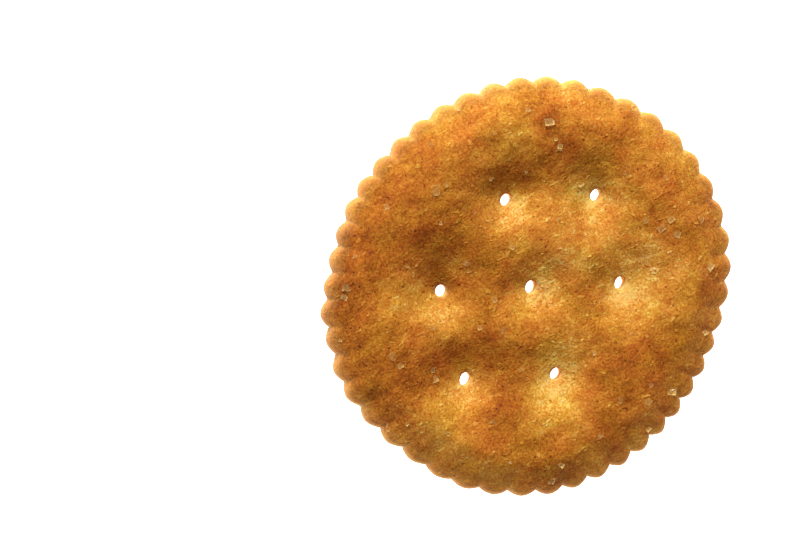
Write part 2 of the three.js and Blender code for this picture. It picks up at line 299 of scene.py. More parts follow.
# %% [markdown]
# ## From a square grid to a wafer
#
# A disc made of rings has a pole of thin triangles in the middle, and a cut-out grid has a jagged edge. A
# square grid pressed into a disc has neither: its cells stay nearly square, and its border falls exactly
# on the outline, so rim and scallops come out clean. The top gets about twice as many cells across as the
# base, because it is what one looks at.


# %% The pressed grid
def pressed_grid(cells):
    """Each point of a square from -1 to 1 keeps its larger coordinate as its share of the radius, and the
    ratio of the two coordinates, times an eighth of a turn, is its angle within that quarter."""
    line = np.linspace(-1, 1, cells + 1)
    a, b = (side.ravel() for side in np.meshgrid(line, line, indexing="ij"))
    wide = np.abs(a) >= np.abs(b)
    main = np.where(wide, a, b)
    ratio = np.divide(np.where(wide, b, a), main, out=np.zeros_like(main), where=main != 0)
    angle = np.where(wide, ratio, 2 - ratio) * math.pi / 4
    return np.abs(main), np.where(main < 0, angle + math.pi, angle) % FULL_TURN


def grid_quads(cells):
    """The four corners of every cell, counted row by row, anticlockwise seen from above."""
    k = np.arange(cells)
    corner = (k[:, None] * (cells + 1) + k).ravel()
    return np.stack([corner, corner + cells + 1, corner + cells + 2, corner + 1], axis=1)


# %% The crust and the rim as one surface
EDGE_MIDDLE = 1.75  # the height at which the rim reaches furthest
EDGE_ROUND = {"top": 1.15, "base": 0.8}  # how far inside the scallops' tips the rim's rounding starts
EDGE_SQUARE = {"top": 0.8, "base": 0.9}  # the power of the sine: 1 is round, less is squarer
SCALLOP_FADE = 2.6  # how far inward from there the scallops can still be felt
SCALLOP_CARRY = 0.75  # the share of a scallop's inset that the crust is drawn in by
BEAD = {"top": -0.3, "base": 0.2}  # how far each crust is pressed towards the other, per mm of inset
HEIGHT = {"top": lambda x, y: top_height(x, y) + fine_relief(x, y), "base": base_height}


def scallops_felt(side, share, cutter_angle):
    """The scallops' inset, fading inward over a short way from where the rim's rounding starts."""
    edge = tip_radius(baked_angle(cutter_angle)) - EDGE_ROUND[side]
    return scallop_inset(cutter_angle) * smooth_step(edge - SCALLOP_FADE, edge, share * edge)


def crust_point(side, share, cutter_angle):
    """x, y and z on a crust: the share of the way to where the rim's rounding starts, drawn in and
    pressed flatter between two scallops."""
    angle = baked_angle(cutter_angle)
    felt = scallops_felt(side, share, cutter_angle)
    radius = share * (tip_radius(angle) - EDGE_ROUND[side]) - SCALLOP_CARRY * felt
    x, y = radius * np.cos(angle), radius * np.sin(angle)
    return x, y, HEIGHT[side](x, y) + BEAD[side] * felt


def rim_point(side, tilt, cutter_angle):
    """x, y and z on the rim's rounding: from the crust's edge, outward with the cosine of the tilt, and
    towards the height where the rim reaches furthest with a power of its sine."""
    x, y, z = crust_point(side, np.ones_like(cutter_angle), cutter_angle)
    inner = np.hypot(x, y)
    outer = tip_radius(baked_angle(cutter_angle)) - scallop_inset(cutter_angle)
    grow = (inner + (outer - inner) * np.cos(tilt)) / inner
    return x * grow, y * grow, EDGE_MIDDLE + (z - EDGE_MIDDLE) * np.abs(np.sin(tilt)) ** EDGE_SQUARE[side]


# %% [markdown]
# ## The pin holes
#
# A docking pin goes right through, so seven nearly round holes show what lies below. A Boolean would leave
# slivers at their edges. Instead the cells over a hole are dropped, the border points they leave are
# moved onto the hole's edge, and the crust's height turns down into it like the lip that the pin drew
# in. Rows of cells and a strip of triangles then join the upper border to the lower one.

# %% Opening the holes in a grid
PIN_HOLE_RADIUS = 0.66
HOLE_OVAL, HOLE_LEAN = 0.09, math.radians(12)  # the pins went in a little aslant
HOLE_STRAY, HOLE_SEED = 0.05, 91
NEAR_A_PIN = 3  # in hole radii: wide enough for a hole's whole border, and clear of the next hole
LIP_DEPTH, LIP_REACH = 0.16, 0.2


def hole_radius(pin, angle):
    """A circle drawn out one way, and a little out of round in a way of its own."""
    stray = HOLE_STRAY * np.cos(2 * angle + FULL_TURN * draw(pin, 1, HOLE_SEED))
    return PIN_HOLE_RADIUS * (1 + HOLE_OVAL * np.cos(2 * (angle - HOLE_LEAN)) + stray)


def borders(quads):
    """The points on edges that only one cell uses."""
    edges = np.sort(np.concatenate([quads[:, [k, (k + 1) % 4]] for k in range(4)]), axis=1)
    pairs, uses = np.unique(edges, axis=0, return_counts=True)
    return np.unique(pairs[uses == 1])


def open_holes(x, y, quads):
    """Drops the cells whose middle is over a hole and moves the border left behind onto the hole's edge.
    Gives the moved x and y, the cells that stay, and for each pin its border points in order round it."""
    x, y = x.copy(), y.copy()
    middle_x, middle_y = x[quads].mean(1), y[quads].mean(1)
    nearest = np.hypot(middle_x[:, None] - PINS[:, 0], middle_y[:, None] - PINS[:, 1]).min(1)
    kept = quads[nearest > PIN_HOLE_RADIUS]
    border = borders(kept)
    rings = []
    for number, (px, py) in enumerate(PINS):
        near = border[np.hypot(x[border] - px, y[border] - py) < NEAR_A_PIN * PIN_HOLE_RADIUS]
        angle = np.arctan2(y[near] - py, x[near] - px)
        order = np.argsort(angle)
        near, angle = near[order], angle[order]
        x[near] = px + hole_radius(number, angle) * np.cos(angle)
        y[near] = py + hole_radius(number, angle) * np.sin(angle)
        rings.append((near, angle))
    return x, y, kept, rings


def lip(x, y, reach):
    """1 at a hole's edge, falling with e to the minus distance from it over the reach."""
    gap = np.hypot(x[:, None] - PINS[:, 0], y[:, None] - PINS[:, 1]).min(1) - PIN_HOLE_RADIUS
    return np.exp(-np.maximum(gap, 0) / reach)


# %% A strip of triangles between two closed loops
def strip(upper, upper_angle, lower, lower_angle):
    """Both loops are walked by angle. Arriving at a point of one makes a triangle with its forerunner and
    the point of the other that was passed last."""
    passed_low = np.searchsorted(lower_angle, upper_angle, side="left") - 1
    passed_up = np.searchsorted(upper_angle, lower_angle, side="right") - 1
    by_upper = np.stack([np.roll(upper, 1), lower[passed_low], upper], axis=1)
    by_lower = np.stack([np.roll(lower, 1), lower, upper[passed_up]], axis=1)
    return np.concatenate([by_upper, by_lower])


# %% [markdown]
# ## One closed wafer
#
# Top and base are built the same way and joined at the rim and in the holes, so the cracker is one closed
# skin, as the solid is. Smooth shading suits it all over: nothing on a cracker is sharp.

# %% The two sheets
SHEETS = {"top": (278, 7), "base": (140, 4)}  # cells across, and how many rings of them go round the rim
RIM_STOPS = {"top": 0.0, "base": math.radians(12)}  # the tilt at which each sheet ends
CUT_AND_GLOW_SPREAD = 0.03  # how far onto the crusts the paler cut dough of the rim reaches, as a share of the radius; it also paints a glow of light through the thin rim
TORN_GLOW_SHOWS, TORN_GLOW_REACH = 1.6, 0.16  # how much of that look a pin hole's torn edge has, and its reach in mm: paler torn dough and a painted glow of light through the thin edge
HAIR = 1e-9  # shares of the radius nearer than this are the same


def sheet(side):
    """A pressed grid with its holes open, its inner rings on the crust and its outer ones round the rim."""
    cells, rim_rings = SHEETS[side]
    share, cutter_angle = pressed_grid(cells)
    start = 1 - 2 * rim_rings / cells
    on_crust = np.minimum(share / start, 1)
    x, y, _ = crust_point(side, on_crust, cutter_angle)
    x, y, quads, rings = open_holes(x, y, grid_quads(cells))
    z = HEIGHT[side](x, y) + BEAD[side] * scallops_felt(side, on_crust, cutter_angle)
    if side == "top":
        z -= LIP_DEPTH * lip(x, y, LIP_REACH)
    rim = share > start + HAIR
    tilt = math.pi / 2 - (math.pi / 2 - RIM_STOPS[side]) * (share[rim] - start) / (1 - start)
    x[rim], y[rim], z[rim] = rim_point(side, tilt, cutter_angle[rim])
    edge = np.flatnonzero(share > 1 - HAIR)
    edge = edge[np.argsort(cutter_angle[edge])]
    # Paler cut and torn dough at the rim and round the holes, which also paints a glow of light through the
    # thin edges.
    cut_and_glow = smooth_step(start - CUT_AND_GLOW_SPREAD, 1, share) + TORN_GLOW_SHOWS * lip(x, y, TORN_GLOW_REACH)
    return np.stack([x, y, z], axis=1), quads, rings, (edge, cutter_angle[edge]), cut_and_glow


top_points, top_quads, top_rings, top_edge, top_cut_and_glow = sheet("top")
base_points, base_quads, base_rings, base_edge, base_cut_and_glow = sheet("base")
print(len(top_quads), "cells on the top,", len(base_quads), "on the base")
print(len(top_edge[0]), "points round the rim")

# %% Joining them
WALL_ROWS = 6


def hole_walls(first_free):
    """For each hole, rows of points straight down from the upper border, then a strip to the lower one."""
    drop = np.linspace(0, 1, WALL_ROWS + 2)[1:-1, None, None]
    points, quads, triangles = [], [], []
    for (upper, angle), (lower, lower_angle) in zip(top_rings, base_rings):
        rim_line = top_points[upper]
        foot = rim_line * (1, 1, 0) + (0, 0, base_points[lower, 2].mean())
        rows = (rim_line + (foot - rim_line) * drop).reshape(-1, 3)
        names = np.vstack([upper, first_free + np.arange(len(rows)).reshape(WALL_ROWS, -1)])
        here, below = names[:-1], names[1:]
        cells = np.stack([here, below, np.roll(below, -1, 1), np.roll(here, -1, 1)], axis=-1)
        quads.append(cells.reshape(-1, 4))
        lower_names = lower + len(top_points)
        triangles.append(strip(names[-1], angle, lower_names, lower_angle)[:, ::-1])
        points.append(rows)
        first_free += len(rows)
    return np.concatenate(points), np.concatenate(quads), np.concatenate(triangles)


skin = np.concatenate([top_points, base_points])
wall_points, wall_quads, wall_triangles = hole_walls(len(skin))
rim_triangles = strip(top_edge[0], top_edge[1], base_edge[0] + len(top_points), base_edge[1])
skin = np.concatenate([skin, wall_points])
faces = [
    top_quads,
    base_quads[:, ::-1] + len(top_points),
    wall_quads[:, ::-1],
    wall_triangles,
    rim_triangles,
]
middle = (skin.min(0) + skin.max(0)) / 2 * (1, 1, 0)  # the frame's origin lies under the middle of the box
print("the wafer's skin spans", np.round(skin.max(0) - skin.min(0), 2), "mm")


# %% A mesh object from arrays
def new_piece(name, points_mm, face_arrays, smooth=True):
    """Puts points in mm and arrays of faces into a mesh in metres, with the object at the origin."""
    mesh = bpy.data.meshes.new(name)
    corners = np.concatenate([f.ravel() for f in face_arrays])
    sizes = np.concatenate([np.full(len(f), f.shape[1]) for f in face_arrays])
    mesh.vertices.add(len(points_mm))
    mesh.vertices.foreach_set("co", (points_mm * MM).astype(np.float32).ravel())
    mesh.loops.add(len(corners))
    mesh.loops.foreach_set("vertex_index", corners.astype(np.int32))
    mesh.polygons.add(len(sizes))
    mesh.polygons.foreach_set("loop_start", np.concatenate([[0], np.cumsum(sizes)[:-1]]).astype(np.int32))
    mesh.polygons.foreach_set("use_smooth", np.full(len(sizes), smooth))
    mesh.update(calc_edges=True)
    mesh.validate()
    piece = bpy.data.objects.new(name, mesh)
    bpy.context.scene.collection.objects.link(piece)
    return piece


def add_attribute(piece, name, values):
    """One number for each point, which a material can read by name."""
    piece.data.attributes.new(name, "FLOAT", "POINT").data.foreach_set("value", values.astype(np.float32))


wafer = new_piece("baked_wafer", skin - middle, faces)
print("baked_wafer has", sum(len(f) * (f.shape[1] - 2) for f in faces), "triangles")

# %% [markdown]
# ## Where it browned
#
# Dough browns where it stands nearest the heat and dries first: on the pillows, the ring and the tops of
# blisters, while the dimples round the pins stay pale. One number for each point of the mesh, from 0 for
# pale to 1 for dark, holds that. It is worked out from the relief, the ring and the pins, so colour and
# shape agree from every side, with broad noise for an uneven oven. The same number also holds painted light
# and shade. Each pin's pale patch is moved towards the lamp, which paints a pool of light on the lit slope
# of its dimple, and the broad noise's darker and paler patches partly paint shade and light. A list of
# patches adds what is particular to this cracker. It is partly real browning and partly painted: darker
# patches paint shade on the left side and round one pin hole, and paler ones paint light. Their places and
# strengths come from comparing renders with the photo, and a script thinned, rounded and sorted the list, so
# it is not a list chosen by hand.

# %% Browning of every point
BAKED = 0.095
RING_BROWNING, PIN_PALING_AND_LIT_POOL, PIN_PALE_REACH = 0.1, 0.38, 3.2
LIT_POOL_SHIFT = (-0.35, -0.6)  # mm from a pin to the middle of its pale patch, moved towards the lamp: a painted pool of light on the lit slope of each dimple
CLOUDS = [(6.5, 0.12, 2353), (2.6, 0.08, 441)]  # wavelength in mm, strength, seed
RELIEF_BROWNING = 0.6
# The holes' walls are paler than any crust: the crumb inside is paler, and the paleness also paints a glow
# of light from below through the thin dough.
WALL_BROWNING_AND_GLOW = -0.4
BROWNING_AND_PAINTED_LIGHT_SPOTS = [  # x, y, reach in mm, how much browner; partly real browning, partly painted shade (darker) and painted light (paler)
    (-5.5, 8, 2, 0.56), (-8.5, 21.5, 3.5, 0.36), (-7, 2, 3, 0.26), (21, 3, 1.5, 0.26),
    (-7.5, -16.5, 2, 0.24), (17, 11, 2, 0.22), (-13.5, 18, 3, 0.2), (-17.5, 13, 3.5, 0.2),
    (-12.5, 3, 3, 0.2), (0, 8, 2, 0.18), (-0.5, -12.5, 2, 0.18), (-21, 8.5, 3, 0.16),
    (6, 8.5, 2, 0.16), (-12.5, -4.5, 2.5, 0.16), (-4, -2.5, 2, 0.14), (0, 22.5, 3, 0.14),
    (-1, 3.5, 2, 0.12), (16.5, 1.5, 2, 0.12), (15, 6.5, 2, 0.12), (0, 11.5, 3, 0.1),
    (20.5, 9, 2.5, -0.08), (11.5, -5, 2.5, -0.12), (11, 18.5, 2.5, -0.12), (11, 3, 2, -0.12),
    (-7.5, 4.5, 2, -0.12), (-7.5, 13, 2, -0.12), (-10, -8, 2, -0.12), (-11, -17.5, 2.5, -0.12),
    (16, 16.5, 3, -0.12), (22.5, -3.5, 3, -0.12), (17, -8, 2, -0.14), (20, 10.5, 3, -0.14),
    (-9.5, -13, 2, -0.16), (-19.5, -2, 2, -0.16), (8, 13.5, 2, -0.16), (17.5, -2, 2, -0.16),
    (22.5, 3, 3, -0.16), (-19, -8.5, 3, -0.18), (-11, 12, 2.5, -0.2), (-8, -20.5, 3.5, -0.2),
    (-6.5, -0.5, 1.5, -0.2), (-18.5, 2, 3, -0.24), (7, -15, 3, -0.24), (-3, 9, 1.5, -0.24),
    (5.5, -1.5, 2.5, -0.28), (12, 11, 2.5, -0.28), (11, -8.5, 1.5, -0.3), (12, -13.5, 2, -0.32),
    (-8.5, 8, 1.5, 0.12), (9.5, 1.5, 1.5, 0.14), (2, -15, 1.5, 0.18), (11.5, -15, 1.5, 0.16),
    (-2, 14, 1.5, 0.12),
]


def clouds(x, y):
    """Broad noise: no oven heats evenly. On the top its seeds were picked so its darker and paler patches
    line up with shade and light, which they partly paint.
    """
    return sum(much * noise(x / wave, y / wave, seed) for wave, much, seed in CLOUDS)


def top_browning_and_painted_light(x, y):
    """An even bake, more on the ring, the spots and all that stands up, and less round the pins. The spots
    also paint shade and light, and each pin's pale patch sits towards the lamp, a painted pool of light.
    """
    ring = RING_BROWNING * np.exp(-(((reach_out(x, y) - RING_RADIUS) / RING_WIDTH) ** 2))
    # Paler dough in the dimples, and, moved towards the lamp, a painted pool of light on their lit slopes.
    pale_and_lit_pool = PIN_PALING_AND_LIT_POOL * bells_at(PINS + LIT_POOL_SHIFT, x, y, PIN_PALE_REACH)
    spots_with_painted_light = sum(much * bells_at([(sx, sy)], x, y, reach) for sx, sy, reach, much in BROWNING_AND_PAINTED_LIGHT_SPOTS)
    return BAKED + ring + spots_with_painted_light + clouds(x, y) + RELIEF_BROWNING * fine_relief(x, y) - pale_and_lit_pool


BAND_GAP, BAND_BROWNING = 0.35, 0.2


def base_browning(x, y, z):
    """Browner where the base lay on the oven's band, paler where it arched clear of it."""
    return BAKED + BAND_BROWNING * (1 - smooth_step(0, BAND_GAP, z)) + clouds(y, x)


brown_and_painted_light = np.full(len(skin), WALL_BROWNING_AND_GLOW)
top_end, base_end = len(top_points), len(top_points) + len(base_points)
brown_and_painted_light[:top_end] = top_browning_and_painted_light(*skin[:top_end, :2].T)
brown_and_painted_light[top_end:base_end] = base_browning(*skin[top_end:base_end].T)
add_attribute(wafer, "browning_and_painted_light", brown_and_painted_light)
add_attribute(wafer, "cut_edge_and_glow", np.concatenate([top_cut_and_glow, base_cut_and_glow, np.zeros(len(wall_points))]))
print("browning on top: mean", round(brown_and_painted_light[:top_end].mean(), 2), "spread", round(brown_and_painted_light[:top_end].std(), 2))

# %% [markdown]
# ## Materials
#
# A finish is a small graph of nodes. One function adds a node with its settings and links, and one turns
# the sRGB hex of a colour chart into the linear numbers that the renderer mixes.

# %% Adding nodes, and colours from hex
def linear(hex_colour):
    """sRGB hex to linear: the standard curve, channel by channel, with full alpha."""
    channels = [int(hex_colour[k : k + 2], 16) / 255 for k in (1, 3, 5)]
    return [c / 12.92 if c <= 0.04045 else ((c + 0.055) / 1.055) ** 2.4 for c in channels] + [1.0]


def add_node(material, kind, settings=None, **inputs):
    """Adds a node, sets its own settings, and gives each named input a value or another node's output."""
    node = material.node_tree.nodes.new(kind)
    for name, value in (settings or {}).items():
        setattr(node, name, value)
    for name, value in inputs.items():
        key = int(name[1:]) if name[0] == "_" else name.replace("_", " ")
        socket = node.inputs[key]
        if isinstance(value, bpy.types.NodeSocket):
            material.node_tree.links.new(value, socket)
        else:
            socket.default_value = value
    return node


def new_material(name):
    """A material with its nodes emptied but for the output."""
    material = bpy.data.materials.new(name)
    material.use_nodes = True
    material.node_tree.nodes.clear()
    return material


# %% Baked crust
BAKE_SHADES = [  # browning, colour
    (0.0, "#e0b865"),
    (0.12, "#d4983f"),
    (0.3, "#c27f2b"),
    (0.5, "#ae661c"),
    (0.7, "#934e13"),
    (0.88, "#73380e"),
    (1.0, "#50250a"),
]
NOISE_MIDDLE = (0.3, 0.7)  # nearly all of a noise texture's values lie between these
CRUST_PATTERNS = [  # size in mm, stretch, detail, noise from, noise to, how much browner, how much higher
    (1.0, 1.4, 3.0, *NOISE_MIDDLE, 0.22, 0.0),  # mottling
    (0.28, 1.0, 3.0, *NOISE_MIDDLE, 0.34, 0.42),  # sandy crumb
    (0.14, 1.0, 0.0, *NOISE_MIDDLE, 0.08, 0.1),  # grit, drawn coarser than flour's own
    (0.6, 1.8, 1.0, 0.66, 0.72, -0.2, 0.8),  # flakes of lifted skin: raised, and paler, which paints the highlight on them
    (0.36, 1.0, 0.0, 0.74, 0.82, 0.3, -0.5),  # scorched pits
]
PATTERN_RELIEF = 0.09  # mm
HUE_PATCH, HUE_DRIFT = 3.2, 0.007  # mm, and how far the hue drifts to either side
CUT_DOUGH_AND_GLOW, CUT_AND_GLOW_SHOWS = "#dcac68", 0.4  # the paler dough at the rim and the holes, which also paints a glow of light through the thin edges, and how much it shows


def baked_crust():
    """Rich dough with oil, rolled thin and oven baked: a dry sandy crust, matt with a trace of waxy gloss.
    Light soaks a little way in, so the eye sees soft, warm shadows beside its blisters."""
    material = new_material("baked_crust")
    place = add_node(material, "ShaderNodeTexCoord").outputs["Object"]
    shade = add_node(material, "ShaderNodeAttribute", {"attribute_name": "browning_and_painted_light"}).outputs["Fac"]
    height = 0.0
    drawn_out = {"vector_type": "TEXTURE"}
    sum_up = {"operation": "MULTIPLY_ADD"}
    for size, stretch, detail, start, end, darker, higher in CRUST_PATTERNS:
        rolled_place = add_node(
            material,
            "ShaderNodeMapping",
            drawn_out,
            Vector=place,
            Rotation=(0, 0, ROLLED),
            Scale=(stretch, 1, 1),
        ).outputs["Vector"]
        grain = add_node(
            material, "ShaderNodeTexNoise", Vector=rolled_place, Scale=1 / (size * MM), Detail=detail
        ).outputs["Fac"]
        mask = add_node(
            material, "ShaderNodeMapRange", Value=grain, From_Min=start, From_Max=end
        ).outputs["Result"]
        shade = add_node(material, "ShaderNodeMath", sum_up, _0=mask, _1=darker, _2=shade).outputs[0]
        height = add_node(material, "ShaderNodeMath", sum_up, _0=mask, _1=higher, _2=height).outputs[0]
    ramp = add_node(material, "ShaderNodeValToRGB", Fac=shade)
    stops = ramp.color_ramp.elements
    stops.remove(stops[1])
    stops[0].color = linear(BAKE_SHADES[0][1])
    for place_on_ramp, hex_colour in BAKE_SHADES[1:]:
        stops.new(place_on_ramp).color = linear(hex_colour)
    patch = add_node(
        material, "ShaderNodeTexNoise", Vector=place, Scale=1 / (HUE_PATCH * MM), Detail=1.0
    ).outputs["Fac"]
    drift = add_node(
        material,
        "ShaderNodeMapRange",
        Value=patch,
        From_Min=NOISE_MIDDLE[0],
        From_Max=NOISE_MIDDLE[1],
        To_Min=0.5 - HUE_DRIFT,
        To_Max=0.5 + HUE_DRIFT,
    ).outputs["Result"]
    colour = add_node(
        material, "ShaderNodeHueSaturation", Hue=drift, Color=ramp.outputs["Color"]
    ).outputs["Color"]
    # Paler dough at the rim and round the holes: partly the paler cut and torn dough, partly a painted glow
    # of light through the thin edges.
    cut_and_glow = add_node(material, "ShaderNodeAttribute", {"attribute_name": "cut_edge_and_glow"}).outputs["Fac"]
    cut_and_glow = add_node(material, "ShaderNodeMath", {"operation": "MULTIPLY"}, _0=cut_and_glow, _1=CUT_AND_GLOW_SHOWS).outputs[0]
    of_colours = {"data_type": "RGBA"}
    colour = add_node(
        material, "ShaderNodeMix", of_colours, _0=cut_and_glow, _6=colour, _7=linear(CUT_DOUGH_AND_GLOW)
    ).outputs[2]
    bump = add_node(
        material, "ShaderNodeBump", Height=height, Distance=PATTERN_RELIEF * MM, Strength=1.0
    ).outputs["Normal"]
    shader = add_node(
        material,
        "ShaderNodeBsdfPrincipled",
        {"subsurface_method": "RANDOM_WALK"},
        Base_Color=colour,
        Roughness=0.75,
        IOR=1.45,
        Specular_IOR_Level=0.1,
        Subsurface_Weight=0.5,
        Subsurface_Radius=(1.2, 0.5, 0.2),
        Subsurface_Scale=1.0 * MM,
        Sheen_Weight=0.05,
        Sheen_Roughness=0.4,
        Normal=bump,
    )
    add_node(material, "ShaderNodeOutputMaterial", Surface=shader.outputs["BSDF"])
    return material


wafer.data.materials.append(baked_crust())
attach(wafer, "root")
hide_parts("cracker")

# %% [markdown]
# ## Salt
#
# Coarse salt lands on the oiled dough and sinks more than half into it: broken cubes of clear crystal, up
# to a millimetre. Each grain here is one subdivided cube whose corners are struck off by a few planes,
# all grains worked out together as one array and joined into one mesh, in the same places as the solid's
# grains.

# %% The unit grain
GRAIN_CELLS = 3


def unit_grain():
    """A cube of side 1 from six small grids: points, and faces that look outwards."""
    line = np.linspace(-0.5, 0.5, GRAIN_CELLS + 1)
    a, b = (side.ravel() for side in np.meshgrid(line, line, indexing="ij"))
    lid = np.full_like(a, 0.5)
    sides = []
    for axis in range(3):
        for sign in (1, -1):
            side = np.stack([a * sign, b, lid * sign], axis=1)
            sides.append(np.roll(side, axis, axis=1))
    quads = grid_quads(GRAIN_CELLS)
    points = np.concatenate(sides)
    faces = np.concatenate([quads + k * len(a) for k in range(6)])
    unique, inverse = np.unique(np.round(points, 6), axis=0, return_inverse=True)
    return unique, inverse.ravel()[faces]


grain_points, grain_faces = unit_grain()
on_faces = np.isclose(np.abs(grain_points), 0.5).sum(axis=1)  # how many of the cube's faces a point lies on
grain_worn = (on_faces > 1).astype(float)  # 1 on the cube's edges, 0 inside its faces
print("a grain has", len(grain_points), "points and", len(grain_faces), "faces")

# %% Where the salt fell
BIG_GRAINS = np.array([  # x, y and size in mm of the grains that catch the eye
    (2.2, 15.5, 1.15), (15.9, 9.5, 1.05), (14.4, 6.9, 0.85), (13.7, -7.8, 0.95), (15.2, -8.2, 0.8),
    (17.2, -11.1, 0.8), (13.5, -15.0, 0.95), (-12.2, 17.0, 0.9), (-13.2, 16.6, 0.8), (-15.5, 8.6, 0.9),
    (-14.7, 3.1, 0.85), (-0.3, -19.8, 0.95), (-2.9, -18.0, 0.8), (-16.2, -14.5, 0.9), (-2.1, 7.5, 0.85),
])
SMALL_GRAINS = 60
SALT_RADIUS = 22.0
SALT_SIZE, SALT_SEED = (0.35, 0.75), 61
SALT_FLATNESS, SALT_SUNK = 0.5, 0.62  # height over length, and the share of it below the crust
SALT_JITTER = 1.3
PIN_CLEARANCE = 1.5
RIM_CLEARANCE = 0.95
GOLDEN_ANGLE = math.pi * (3 - math.sqrt(5))


def salt_places():
    """The big grains, then an even sunflower spread of small ones that stray, clear of pins and rim."""
    k = np.arange(SMALL_GRAINS)
    radius = SALT_RADIUS * np.sqrt((k + 0.5) / SMALL_GRAINS)
    x = radius * np.cos(k * GOLDEN_ANGLE) + SALT_JITTER * (2 * draw(k, 1, SALT_SEED) - 1)
    y = radius * np.sin(k * GOLDEN_ANGLE) + SALT_JITTER * (2 * draw(k, 2, SALT_SEED) - 1)
    size = SALT_SIZE[0] + (SALT_SIZE[1] - SALT_SIZE[0]) * draw(k, 3, SALT_SEED)
    clear = np.hypot(x[:, None] - PINS[:, 0], y[:, None] - PINS[:, 1]).min(1) > PIN_CLEARANCE
    kept = clear & (reach_out(x, y) < RIM_CLEARANCE)
    return np.concatenate([BIG_GRAINS, np.stack([x, y, size], axis=1)[kept]])


def turned(points, angle, axis):
    """Points turned about one axis, each grain by its own angle: the two other coordinates mix by its
    cosine and sine."""
    first, second = [(1, 2), (2, 0), (0, 1)][axis]
    cosine, sine = np.cos(angle)[:, None], np.sin(angle)[:, None]
    made = points.copy()
    made[..., first] = points[..., first] * cosine - points[..., second] * sine
    made[..., second] = points[..., first] * sine + points[..., second] * cosine
    return made


CHIPS, CHIP_DEPTH = 5, (0.42, 0.62)
TURN_SEED, RISE_SEED, DEPTH_SEED = 67, 68, 69


def chipped(points, number):
    """Each grain loses what lies beyond a few planes of its own, struck off flat."""
    for chip in range(CHIPS):
        turn = FULL_TURN * draw(number, chip, TURN_SEED)
        rise = 2 * draw(number, chip, RISE_SEED) - 1
        flat = np.sqrt(1 - rise**2)
        normal = np.stack([flat * np.cos(turn), flat * np.sin(turn), rise], axis=1)
        depth = CHIP_DEPTH[0] + (CHIP_DEPTH[1] - CHIP_DEPTH[0]) * draw(number, chip, DEPTH_SEED)
        beyond = np.maximum(0, np.einsum("gpc,gc->gp", points, normal) - depth[:, None])
        points = points - beyond[..., None] * normal[:, None, :]
    return points


# %% All grains as one mesh
LEAST_WIDTH = 0.65
SALT_LEAN = 0.8
LIGHT_FROM = math.radians(48.5)  # the key lamp's azimuth: the top of the picture, a little to the left
NEAR_FROST_AND_LIGHT = 0.15  # frost on a grain's near edges, as a share of that on its far ones, where light comes out: the heavier frost there paints that light


def salt_grains(places):
    """Every grain is the unit grain chipped, scaled, leant about X and Y, turned about Z and sunk in."""
    x, y, size = places.T
    number = np.arange(len(places))
    width = size * (LEAST_WIDTH + (1 - LEAST_WIDTH) * draw(number, 4, SALT_SEED))
    high = size * SALT_FLATNESS
    grains = chipped(np.repeat(grain_points[None], len(size), axis=0), number)
    grains = grains * np.stack([size, width, high], axis=1)[:, None]
    grains = turned(grains, SALT_LEAN * (draw(number, 5, SALT_SEED) - 0.5), 0)
    grains = turned(grains, SALT_LEAN * (draw(number, 6, SALT_SEED) - 0.5), 1)
    grains = turned(grains, FULL_TURN * draw(number, 7, SALT_SEED), 2)
    middle_height = top_height(x, y) + high * (0.5 - SALT_SUNK)
    return grains + np.stack([x, y, middle_height], axis=1)[:, None]


def far_side(grains):
    """How far each point lies from the light within its own grain: 0 on the near side, 1 on the far one."""
    toward = grains @ np.array([math.cos(LIGHT_FROM), math.sin(LIGHT_FROM), 0])
    near, far = toward.max(axis=1, keepdims=True), toward.min(axis=1, keepdims=True)
    return (near - toward) / (near - far)


grains = salt_grains(salt_places())
# Frost on each grain's edges, heavier on the side away from the lamp: a painted glow of the light that comes
# out there.
frost_and_exit_light = grain_worn * (NEAR_FROST_AND_LIGHT + (1 - NEAR_FROST_AND_LIGHT) * far_side(grains))
salt_faces = grain_faces + (np.arange(len(grains)) * len(grain_points))[:, None, None]
salt = new_piece("salt_grains", grains.reshape(-1, 3) - middle, [salt_faces.reshape(-1, 4)], smooth=False)
add_attribute(salt, "worn_and_lit", frost_and_exit_light.ravel())
print("salt_grains has", len(grains), "grains")


# %% Salt crystal
CLEAR, FROSTED_AND_LIT = 0.14, 0.75  # how much of the crust each hides; the frosted edges also paint light on the side away from the lamp
FROST_STARTS, FROST_FULL = 0.15, 0.5  # frost and painted light times cloud, where a grain starts to frost and is all frost
FROST_CLOUD = 0.3  # mm
SALT_TINT = "#f5d488"  # the crust's own light, which the crystal passes on


def salt_crystal():
    """Halite: a clear cubic crystal whose faces stay smooth while its edges are chipped and frosted. The
    frost is heavier on the edges away from the lamp, which paints the light that comes out there. Light that
    passes through is let straight on, as a refracting grain would leave the crust below it in shadow."""
    material = new_material("salt_crystal")
    worn_and_lit = add_node(material, "ShaderNodeAttribute", {"attribute_name": "worn_and_lit"}).outputs["Fac"]
    place = add_node(material, "ShaderNodeTexCoord").outputs["Object"]
    cloud = add_node(
        material, "ShaderNodeTexNoise", Vector=place, Scale=1 / (FROST_CLOUD * MM), Detail=2.0
    ).outputs["Fac"]
    frost_and_light = add_node(material, "ShaderNodeMath", {"operation": "MULTIPLY"}, _0=worn_and_lit, _1=cloud).outputs[0]
    cover = add_node(
        material,
        "ShaderNodeMapRange",
        Value=frost_and_light,
        From_Min=FROST_STARTS,
        From_Max=FROST_FULL,
        To_Min=CLEAR,
        To_Max=FROSTED_AND_LIT,
    ).outputs["Result"]
    shader = add_node(
        material,
        "ShaderNodeBsdfPrincipled",
        Base_Color=linear(SALT_TINT),
        Roughness=0.12,
        IOR=1.544,
        Alpha=cover,
    )
    add_node(material, "ShaderNodeOutputMaterial", Surface=shader.outputs["BSDF"])
    return material


salt.data.materials.append(salt_crystal())
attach(salt, "root")
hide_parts("cracker")

